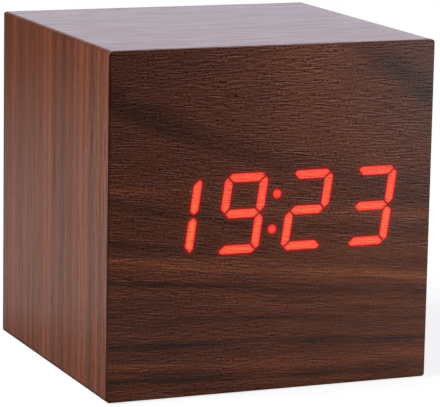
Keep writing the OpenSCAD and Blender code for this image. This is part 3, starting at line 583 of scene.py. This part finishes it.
wear(front_film_paint(), "front_film")
wear(lit_film_paint(), "lit_segments")
wear(side_film_paint("left_wood_film", (-1, 0), left_strip), "left_board")
wear(side_film_paint("top_wood_film", (0, 1), top_strip, TOP_FIGURE), "top_board")
wear(side_film_paint("right_wood_film", (1, 0), right_strip), "right_board")
wear(side_film_paint("bottom_wood_film", (0, -1), bottom_strip), "bottom_board")


def fibreboard_paint():
    """Bare board of pressed fibres."""
    paint = Paint("fibreboard", roughness=0.85)
    fibres = paint.grains(0.35, 0.0, 4.0)
    clumps = paint.grains(2.5, 5.0, 2.0)
    tone = fibres * 0.7 + clumps * 0.3
    paint.set("Base Color", paint.blend(tone, (0.15, 0.085, 0.04, 1.0), (0.36, 0.23, 0.13, 1.0)))
    paint.bump(fibres, 0.05)
    return paint


def moulded_paint(name, dark, light, roughness, texture=0.15, depth=0.012, edge=0.12):
    """Moulded plastic: a fine spark texture, faint cloudy wear and edges that catch the light."""
    paint = Paint(name)
    grit = paint.grains(texture, 0.0, 2.0)
    clouds = paint.grains(6.0, 3.0, 3.0)
    tone = (clouds - 0.5) * 0.9 + (grit - 0.5) * 0.5 + 0.5
    paint.set("Base Color", paint.blend(tone, dark, light, 0.25, 0.75))
    paint.set("Roughness", (clouds - 0.5) * 0.22 + roughness)
    paint.bump(grit, depth, edge)
    return paint


def metal_paint(name, dark, light, roughness):
    """Plated metal with faint scratches and a little tarnish."""
    paint = Paint(name, metallic=1.0)
    x, y, z = paint.place()
    scratches = paint.noise(x / 0.08, y / 1.4, z / 1.4, 2.0)
    tarnish = paint.grains(1.6, 7.0, 3.0)
    paint.set("Base Color", paint.blend(tarnish, dark, light, 0.3, 0.65))
    paint.set("Roughness", roughness + (scratches - 0.5) * 0.25 + (tarnish - 0.5) * 0.15)
    paint.bump(scratches, 0.004, 0.05)
    return paint


def board_paint():
    """A circuit board: green solder mask over faint copper tracks."""
    paint = Paint("circuit_board")
    x, y, z = paint.place()
    inputs = {
        "Vector": paint.vector(x / 3.4, z / 1.9),
        "Scale": 1.0,
        "Mortar Size": 0.09,
        "Mortar Smooth": 0.2,
    }
    tracks = paint.node("ShaderNodeTexBrick", inputs, offset=0.5, squash=1.0)
    line = Number(paint, tracks.outputs["Fac"])
    clouds = paint.grains(3.0, 2.0, 2.0)
    mask = paint.blend(clouds, (0.006, 0.045, 0.018, 1.0), (0.012, 0.075, 0.03, 1.0))
    paint.set("Base Color", paint.mix(line * 0.6, mask, (0.03, 0.16, 0.06, 1.0)))
    paint.set("Roughness", 0.32 + clouds * 0.12)
    paint.bump(line, 0.03)
    return paint


def button_paint():
    """Dark plastic with the raised mark on the cap wiped with pale paint."""
    dark = (0.020, 0.020, 0.021, 1.0)
    light = (0.036, 0.036, 0.038, 1.0)
    paint = moulded_paint("button_plastic", dark, light, 0.42, 0.12)
    x, y, z = paint.place()
    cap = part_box("set_button")[1].y / MM
    mark = y.step(cap - 0.10, cap - 0.06)
    base = paint.shader.inputs["Base Color"].links[0].from_socket
    worn = paint.grains(0.5, 9.0, 2.0)
    paint.set("Base Color", paint.mix(mark * (0.75 + worn * 0.3), base, (0.62, 0.61, 0.58, 1.0)))
    return paint


# The sleeve of a cell: where it ends, and its rings with their half widths, in millimetres from the middle
SLEEVE_TOP = 21.8
SLEEVE_FOOT = -19.2
SLEEVE_RINGS = ((15.0, 0.9), (12.0, 0.35))


def cell_paint():
    """A plain battery cell: a printed sleeve with two pale rings, and bare plated ends."""
    paint = Paint("cell_sleeve", specular_ior_level=0.5)
    x, y, z = paint.place()
    middle = (cell_low.z + cell_high.z) / 2
    turned = 1.0 - (z - middle).absolute().step(cell_radius + 0.2, cell_radius - 0.2) * 2.0
    along = x * turned
    ends = along.step(SLEEVE_TOP, SLEEVE_TOP + 0.1).most(along.step(SLEEVE_FOOT, SLEEVE_FOOT - 0.1))
    rings = [along.hump(place, half_width).step(0.45, 0.55) for place, half_width in SLEEVE_RINGS]
    clouds = paint.grains(2.0, 1.0, 3.0)
    sleeve = paint.blend(clouds, (0.010, 0.050, 0.060, 1.0), (0.016, 0.072, 0.085, 1.0))
    sleeve = paint.mix(reduce(Number.most, rings), sleeve, (0.60, 0.58, 0.50, 1.0))
    bare = paint.blend(clouds, (0.52, 0.51, 0.49, 1.0), (0.68, 0.67, 0.65, 1.0))
    paint.set("Base Color", paint.mix(ends, sleeve, bare))
    paint.set("Metallic", ends)
    paint.set("Roughness", 0.26 + clouds * 0.12)
    paint.bump(ends * -1.0 + clouds * 0.1, 0.06, 0.1)
    return paint


def wire_paint(name, dark, light):
    """Soft wire insulation, slightly cloudy and dusty."""
    paint = Paint(name)
    clouds = paint.grains(0.8, 4.0, 3.0)
    paint.set("Base Color", paint.blend(clouds, dark, light))
    paint.set("Roughness", 0.45 + clouds * 0.2)
    paint.bump(clouds, 0.01)
    return paint


# The width of the ribbon's marked wire, in millimetres
MARKED_WIRE = 1.2


def ribbon_paint():
    """Grey flat cable with its first wire marked red."""
    paint = Paint("ribbon")
    x, y, z = paint.place()
    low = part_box("ribbon_cable")[0].x / MM
    marked = x.step(low + MARKED_WIRE + 0.1, low + MARKED_WIRE)
    clouds = paint.grains(1.2, 6.0, 2.0)
    grey = paint.blend(clouds, (0.24, 0.24, 0.25, 1.0), (0.34, 0.34, 0.35, 1.0))
    paint.set("Base Color", paint.mix(marked, grey, (0.42, 0.03, 0.025, 1.0)))
    paint.set("Roughness", 0.42 + clouds * 0.15)
    paint.bump(clouds, 0.01)
    return paint


def capacitor_paint():
    """A shrunk sleeve with a pale stripe down one side and a bare top."""
    paint = Paint("capacitor_sleeve")
    x, y, z = paint.place()
    low, high = [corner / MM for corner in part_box("capacitor")]
    stripe = (z - (low.z + high.z) / 2).absolute().step(0.8, 0.7) * x.step((low.x + high.x) / 2, low.x)
    top = paint.facing()[1].step(0.7, 0.8)
    clouds = paint.grains(1.0, 8.0, 2.0)
    sleeve = paint.blend(clouds, (0.010, 0.014, 0.045, 1.0), (0.016, 0.022, 0.065, 1.0))
    sleeve = paint.mix(stripe, sleeve, (0.5, 0.5, 0.48, 1.0))
    paint.set("Base Color", paint.mix(top, sleeve, (0.62, 0.62, 0.61, 1.0)))
    paint.set("Metallic", top)
    paint.set("Roughness", 0.3 + clouds * 0.12)
    paint.bump(clouds, 0.01, 0.15)
    return paint


def light_chip_paint():
    """The clear amber resin of the small lamps."""
    paint = Paint("led", ior=1.5)
    clouds = paint.grains(0.4, 2.0, 2.0)
    paint.set("Base Color", paint.blend(clouds, (0.62, 0.42, 0.28, 1.0), (0.78, 0.6, 0.42, 1.0)))
    paint.set("Roughness", 0.2 + clouds * 0.15)
    paint.bump(clouds, 0.01, 0.08)
    return paint


# Plain plastics: name, dark and light colour, roughness, and the pieces
PLASTICS = (
    ("diffuser", (0.72, 0.72, 0.70, 1.0), (0.8, 0.8, 0.78, 1.0), 0.6, ("diffuser_sheet",)),
    ("mask_plastic", (0.66, 0.66, 0.64, 1.0), (0.76, 0.76, 0.74, 1.0), 0.55, ("light_mask",)),
    (
        "chip_plastic", (0.012, 0.012, 0.012, 1.0), (0.026, 0.026, 0.027, 1.0), 0.55,
        ("clock_chip", "buzzer"),
    ),
    ("header_plastic", (0.6, 0.59, 0.54, 1.0), (0.72, 0.71, 0.67, 1.0), 0.45, ("ribbon_headers",)),
    (
        "switch_plastic", (0.02, 0.02, 0.02, 1.0), (0.04, 0.04, 0.04, 1.0), 0.45,
        ("switch_bodies", "set_switch_plunger", "up_switch_plunger", "down_switch_plunger"),
    ),
    ("jack_plastic", (0.012, 0.012, 0.012, 1.0), (0.02, 0.02, 0.02, 1.0), 0.3, ("power_jack",)),
    ("sensor_bead", (0.34, 0.10, 0.015, 1.0), (0.48, 0.16, 0.03, 1.0), 0.2, ("thermistor",)),
)
for plastic, dark, light, roughness, pieces in PLASTICS:
    wear(moulded_paint(plastic, dark, light, roughness), *pieces)
shell_black = moulded_paint(
    "black_plastic", (0.016, 0.016, 0.017, 1.0), (0.027, 0.027, 0.028, 1.0), 0.48,
    texture=0.22, depth=0.03, edge=0.2,
)
wear(shell_black, "rear_cover", "battery_door")
steel = metal_paint("steel", (0.40, 0.40, 0.41, 1.0), (0.60, 0.60, 0.61, 1.0), 0.32)
wear(steel, "display_screws", "button_pcb_screws", "rear_cover_screws", "crystal", "microphone")
nickel = metal_paint("nickel", (0.50, 0.49, 0.46, 1.0), (0.70, 0.69, 0.66, 1.0), 0.24)
wear(nickel, "positive_contact", "negative_contact", "bridge_contacts")
wear(metal_paint("brass", (0.44, 0.27, 0.07, 1.0), (0.62, 0.41, 0.13, 1.0), 0.25), "power_jack_pin")
wear(fibreboard_paint(), "front_board", "corner_blocks")
wear(light_chip_paint(), "led_chips")
wear(board_paint(), "display_pcb", "button_pcb")
wear(capacitor_paint(), "capacitor")
wear(button_paint(), "set_button", "up_button", "down_button")
wear(cell_paint(), "battery_cells")


# Pieces that bend or are wound: each follows its CAD piece, with smoother turns
def sweep(name, path, ways, profile):
    """A closed solid: a profile's (side, up) points carried along a path, with both ways at each point."""
    count = len(profile)
    verts = []
    for point, (side, up) in zip(path, ways):
        verts.extend(point + side * a + up * b for a, b in profile)
    faces = []
    for i in range(len(path) - 1):
        for k in range(count):
            a = i * count + k
            b = i * count + (k + 1) % count
            faces.append((a, b, b + count, a + count))
    faces.append(tuple(reversed(range(count))))
    faces.append(tuple(range((len(path) - 1) * count, len(path) * count)))
    mesh = bpy.data.meshes.new(name)
    mesh.from_pydata([v * MM for v in verts], [], faces)
    mesh.polygons.foreach_set("use_smooth", [len(f) == 4 for f in faces])
    mesh.update()
    piece = bpy.data.objects.new(name, mesh)
    bpy.context.scene.collection.objects.link(piece)
    return piece


def circle(radius, sides):
    """The points of a round profile."""
    turns = [2 * math.pi * k / sides for k in range(sides)]
    return [(radius * math.cos(t), radius * math.sin(t)) for t in turns]


def headings(path, end):
    """The way that a path heads at each of its points. It is given for the two ends."""
    middle = [(after - before).normalized() for before, after in zip(path, path[2:])]
    return [end, *middle, end]


def easy_bend(start, end, steps):
    """A path that leaves start and meets end straight along Y, and the way it heads at each point."""
    reach = Vector((0, (start.y - end.y) / 2, 0))
    a, b, c, d = start, start - reach, end + reach, end
    path = []
    for i in range(steps + 1):
        t = i / steps
        s = 1 - t
        path.append(a * s**3 + b * 3 * t * s**2 + c * 3 * t * t * s + d * t**3)
    return path, headings(path, Vector((0, -1, 0)))


def settle(piece, paint, node):
    """Paints a piece of the case and puts it in the place of a CAD node."""
    piece.data.materials.append(paint.material)
    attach(piece, "case")
    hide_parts(node)


# The springs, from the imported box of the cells: wide at the contact plate and narrow at the cell
SPRING_LENGTH = 3.4
SPRING_WIRE = 0.5
SPRING_TURNS = 2.5
SPRING_WIDE = 3.1
SPRING_TIP = 1.9
SPRING_SIDES = 12
CURL_STEPS = 60
CELL_COUNT = 3


def spring_path():
    """The points of a spring along X, and the ways out from its axis there. Both ends run straight on."""
    points = []
    normals = []
    for i in range(CURL_STEPS + 1):
        share = i / CURL_STEPS
        angle = 2 * math.pi * SPRING_TURNS * share
        normal = Vector((0, math.cos(angle), math.sin(angle)))
        x = SPRING_WIRE + (SPRING_LENGTH - 2 * SPRING_WIRE) * share
        points.append(Vector((x, 0, 0)) + normal * (SPRING_WIDE + (SPRING_TIP - SPRING_WIDE) * share))
        normals.append(normal)
    points.insert(0, points[0] - Vector((SPRING_WIRE, 0, 0)))
    normals.insert(0, normals[0])
    points.append(points[-1] + Vector((SPRING_WIRE, 0, 0)))
    normals.append(normals[-1])
    return points, normals


def wind_springs():
    """One spring for each cell, at the left and the right by turns."""
    pitch = (cell_high.z - cell_low.z - 2 * cell_radius) / (CELL_COUNT - 1)
    spring_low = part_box("contact_springs")[0].x / MM
    points, normals = spring_path()
    coils = []
    for i in range(CELL_COUNT):
        flip = 1 if i % 2 == 0 else -1
        origin = Vector((0, (cell_low.y + cell_high.y) / 2, cell_low.z + cell_radius + i * pitch))
        path = [origin + Vector((flip * (p.x + spring_low), p.y, p.z)) for p in points]
        ways = []
        for normal, heading in zip(normals, headings(path, Vector((flip, 0, 0)))):
            up = heading.cross(Vector((flip * normal.x, normal.y, normal.z))).normalized()
            ways.append((up.cross(heading), up))
        coils.append(sweep(f"contact_spring_{i + 1}", path, ways, circle(SPRING_WIRE / 2, SPRING_SIDES)))
    return coils


coils = wind_springs()
for coil in coils:
    coil.data.materials.append(nickel.material)
    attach(coil, "case")
    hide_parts("contact_springs")


# The leads: where each leaves its solder tail and where it meets the display board, in millimetres
LEAD_TAIL_X = 24.15
LEAD_BOARD_X = 20.5
LEAD_BOARD_Z = 22.45
LEAD_RADIUS = 0.6
LEAD_SIDES = 16
LEAD_STEPS = 40


def lead(name, node, side, height):
    """A battery lead from its solder tail to the display board."""
    low, high = [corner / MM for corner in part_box(node)]
    start = Vector((side * LEAD_TAIL_X, high.y, height))
    end = Vector((side * LEAD_BOARD_X, low.y, LEAD_BOARD_Z))
    path, ahead = easy_bend(start, end, LEAD_STEPS)
    ways = []
    for heading in ahead:
        first = heading.cross(Vector((0, 0, 1))).normalized()
        ways.append((first, heading.cross(first)))
    return sweep(name, path, ways, circle(LEAD_RADIUS, LEAD_SIDES))


red_lead = lead("red_lead", "battery_lead_red", 1, cell_high.z - cell_radius)
red_wire = wire_paint("red_wire", (0.36, 0.012, 0.012, 1.0), (0.5, 0.022, 0.02, 1.0))
settle(red_lead, red_wire, "battery_lead_red")
black_lead = lead("black_lead", "battery_lead_black", -1, cell_low.z + cell_radius)
black_wire = wire_paint("black_wire", (0.012, 0.012, 0.012, 1.0), (0.024, 0.024, 0.024, 1.0))
settle(black_lead, black_wire, "battery_lead_black")

# The ribbon: its wires, and half its thickness over a wire and between two, in millimetres
RIBBON_WIRES = 6
RIBBON_RIDGE = 0.45
RIBBON_WEB = 0.16
RIBBON_STEPS = 48
RIDGE_TURNS = (180, 150, 120, 90, 60, 30)


def flat_cable():
    """The ribbon between the two boards, with a ridge over each of its wires."""
    low, high = [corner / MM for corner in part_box("ribbon_cable")]
    start = Vector((0, high.y, high.z - RIBBON_RIDGE))
    end = Vector((0, low.y, low.z + RIBBON_RIDGE))
    path, ahead = easy_bend(start, end, RIBBON_STEPS)
    ways = [(Vector((1, 0, 0)), Vector((0, -heading.z, heading.y))) for heading in ahead]
    pitch = (high.x - low.x) / RIBBON_WIRES
    upper = []
    for k in range(RIBBON_WIRES):
        middle = low.x + pitch * (k + 0.5)
        for turn in RIDGE_TURNS:
            t = math.radians(turn)
            upper.append((middle + pitch / 2 * math.cos(t), max(RIBBON_WEB, RIBBON_RIDGE * math.sin(t))))
    upper.append((high.x, RIBBON_WEB))
    profile = upper + [(x, -h) for x, h in reversed(upper)]
    return sweep("ribbed_ribbon", path, ways, list(reversed(profile)))


settle(flat_cable(), ribbon_paint(), "ribbon_cable")

# The stage: a pale floor that fades into a white room, and soft lamps. Lengths are in metres
FLOOR_HALF = 0.5
FLOOR_DROP = 0.0002
FLOOR_GREY = (0.45, 0.45, 0.45, 1.0)
FLOOR_GLOW = 0.75
FLOOR_MIDDLE = (-0.05, 0.10, 0.0)
ROOM_LIGHT = 0.21
LOW_ROOM = 0.03
FRONT_ROOM = 0.3
LAMP_TARGET = Vector((0, 0, 0.032))


def seen_by_eye(graph):
    """1 for rays from the camera, also by way of a mirror or glass, and 0 for light that spreads."""
    path = graph.node("ShaderNodeLightPath")
    rays = [Number(graph, path.outputs[f"Is {kind} Ray"]) for kind in ("Camera", "Glossy", "Transmission")]
    return reduce(Number.most, rays)


def floor_material():
    """Pale matt floor. It glows for rays that show it to the eye, and is white where no shadow falls."""
    material = bpy.data.materials.new("floor")
    material.use_nodes = True
    graph = Graph(material.node_tree)
    graph.tree.nodes.clear()
    matt = graph.node("ShaderNodeBsdfDiffuse", {"Color": FLOOR_GREY})
    glow = graph.node("ShaderNodeEmission", {"Color": WHITE, "Strength": seen_by_eye(graph) * FLOOR_GLOW})
    lit = graph.node("ShaderNodeAddShader", {0: matt.outputs[0], 1: glow.outputs[0]})
    # The floor fades out far away, in mirror images close to the clock, and from below
    place = graph.node("ShaderNodeTexCoord").outputs["Object"]
    fade = graph.measure("DISTANCE", place, FLOOR_MIDDLE).step(0.12, 0.28) * 0.8 + 0.2
    # Close to the clock the floor is mostly gone in mirror images: a painted shade of the floor round the
    # base, as the clock's sides reflect it
    close = graph.measure("DISTANCE", place, (0.0, 0.0, 0.0)).step(0.085, 0.040) * 0.75
    mirrored = Number(graph, graph.node("ShaderNodeLightPath").outputs["Is Glossy Ray"])
    below = graph.node("ShaderNodeNewGeometry").outputs["Backfacing"]
    gone = fade.most(mirrored * close).most(below)
    clear = graph.node("ShaderNodeBsdfTransparent")
    whole = graph.node("ShaderNodeMixShader", {0: gone, 1: lit.outputs[0], 2: clear.outputs[0]})
    graph.node("ShaderNodeOutputMaterial", {"Surface": whole.outputs[0]})
    return material


def make_floor():
    """A flat square just under the clock."""
    half = FLOOR_HALF
    mesh = bpy.data.meshes.new("floor")
    corners = [(-half, -half, 0), (half, -half, 0), (half, half, 0), (-half, half, 0)]
    mesh.from_pydata(corners, [], [(0, 1, 2, 3)])
    mesh.materials.append(floor_material())
    floor = bpy.data.objects.new("floor", mesh)
    floor.location = (0, 0, -FLOOR_DROP)
    bpy.context.scene.collection.objects.link(floor)


def make_room():
    """A white room. It lights the clock evenly, and mirrors show it dim low down and at the front."""
    world = bpy.data.worlds.new("room")
    bpy.context.scene.world = world
    world.use_nodes = True
    graph = Graph(world.node_tree)
    graph.tree.nodes.clear()
    x, y, z = graph.split(graph.node("ShaderNodeTexCoord").outputs["Generated"])
    level = z.step(-0.04, 0.12) * (1.0 - LOW_ROOM) + LOW_ROOM
    side = y.step(-0.35, 0.10) * (1.0 - FRONT_ROOM) + FRONT_ROOM
    straight = graph.node("ShaderNodeLightPath").outputs["Is Camera Ray"]
    bright = (level * side).most(straight)
    soft = graph.node("ShaderNodeBackground", {"Color": WHITE, "Strength": ROOM_LIGHT})
    white = graph.node("ShaderNodeBackground", {"Color": WHITE, "Strength": bright})
    inputs = {0: seen_by_eye(graph), 1: soft.outputs[0], 2: white.outputs[0]}
    both = graph.node("ShaderNodeMixShader", inputs)
    graph.node("ShaderNodeOutputWorld", {"Surface": both.outputs[0]})


def lamp(name, place, power, size, colour=(1.0, 1.0, 1.0), mirrored=True):
    """A square soft box that faces the middle of the clock."""
    data = bpy.data.lights.new(name, "AREA")
    data.energy = power
    data.size = size
    data.color = colour
    piece = bpy.data.objects.new(name, data)
    piece.location = place
    piece.visible_camera = False
    piece.visible_glossy = mirrored
    piece.rotation_mode = "QUATERNION"
    piece.rotation_quaternion = (LAMP_TARGET - piece.location).to_track_quat("-Z", "Y")
    bpy.context.scene.collection.objects.link(piece)


make_floor()
make_room()
lamp("key", (-1.17, -0.06, 0.68), 17.0, 0.7, mirrored=False)
lamp("fill", (0.24, -0.28, 0.043), 0.42, 0.08)
lamp("back", (0.55, 1.30, 0.40), 4.4, 0.9, (0.70, 0.76, 1.0))

# The camera: the photograph's place, aim and slight roll, and its sensor and lens in millimetres
EYE = Vector((-0.203788, -0.490815, 0.130785))
AIM = Vector((0.0016408, -0.0011909, 0.0295678))
ROLL = math.radians(1.0663)
SENSOR_WIDTH = 36.0
LENS = 230.7
camera_data = bpy.data.cameras.new("camera")
camera_data.sensor_width = SENSOR_WIDTH
camera_data.lens = LENS
camera = bpy.data.objects.new("camera", camera_data)
bpy.context.scene.collection.objects.link(camera)
forward = (AIM - EYE).normalized()
level_right = forward.cross(Vector((0, 0, 1))).normalized()
level_up = level_right.cross(forward)
right = level_right * math.cos(ROLL) + level_up * math.sin(ROLL)
up = right.cross(forward)
turn = Matrix((right, up, -forward)).transposed()
camera.matrix_world = Matrix.Translation(EYE) @ turn.to_4x4()
bpy.context.scene.camera = camera
bpy.context.scene.view_settings.view_transform = "Standard"
